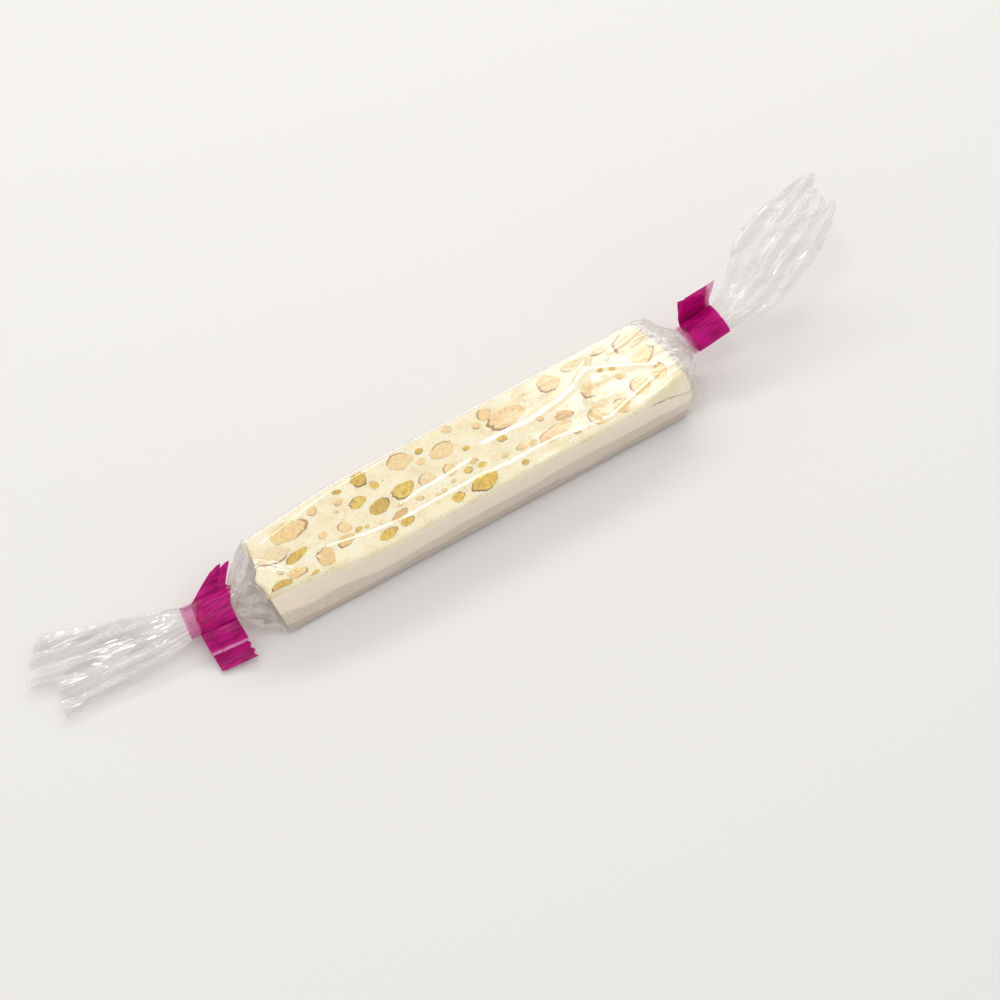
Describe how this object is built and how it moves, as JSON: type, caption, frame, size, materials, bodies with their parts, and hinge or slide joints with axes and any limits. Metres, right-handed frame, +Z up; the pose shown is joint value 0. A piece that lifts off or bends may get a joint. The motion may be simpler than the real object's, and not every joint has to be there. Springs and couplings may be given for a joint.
{
  "type": "nougat bar",
  "caption": "Cut bar of almond and pistachio nougat between two wafer sheets, in clear film with tape closures and fanned tails.",
  "frame": {"origin": "centre of the flat underside that the wrapped bar rests on", "axes": "+X along the bar towards the end whose tail rises, -Y out of the front wafer, +Z up"},
  "size_m": [0.2965, 0.0449, 0.0326],
  "materials": {
    "nougat_paste": "satin cream sugar paste with almonds and pistachios",
    "wafer": "matte wafer paper",
    "clear_film": "thin clear glossy film",
    "magenta_tape": "glossy translucent tape"
  },
  "bodies": {
    "root": {"nougat": "nougat_paste", "wafer_front": "wafer", "wafer_back": "wafer", "film_wrap": "clear_film", "tape_left": "magenta_tape", "tape_right": "magenta_tape"}
  },
  "joints": []
}
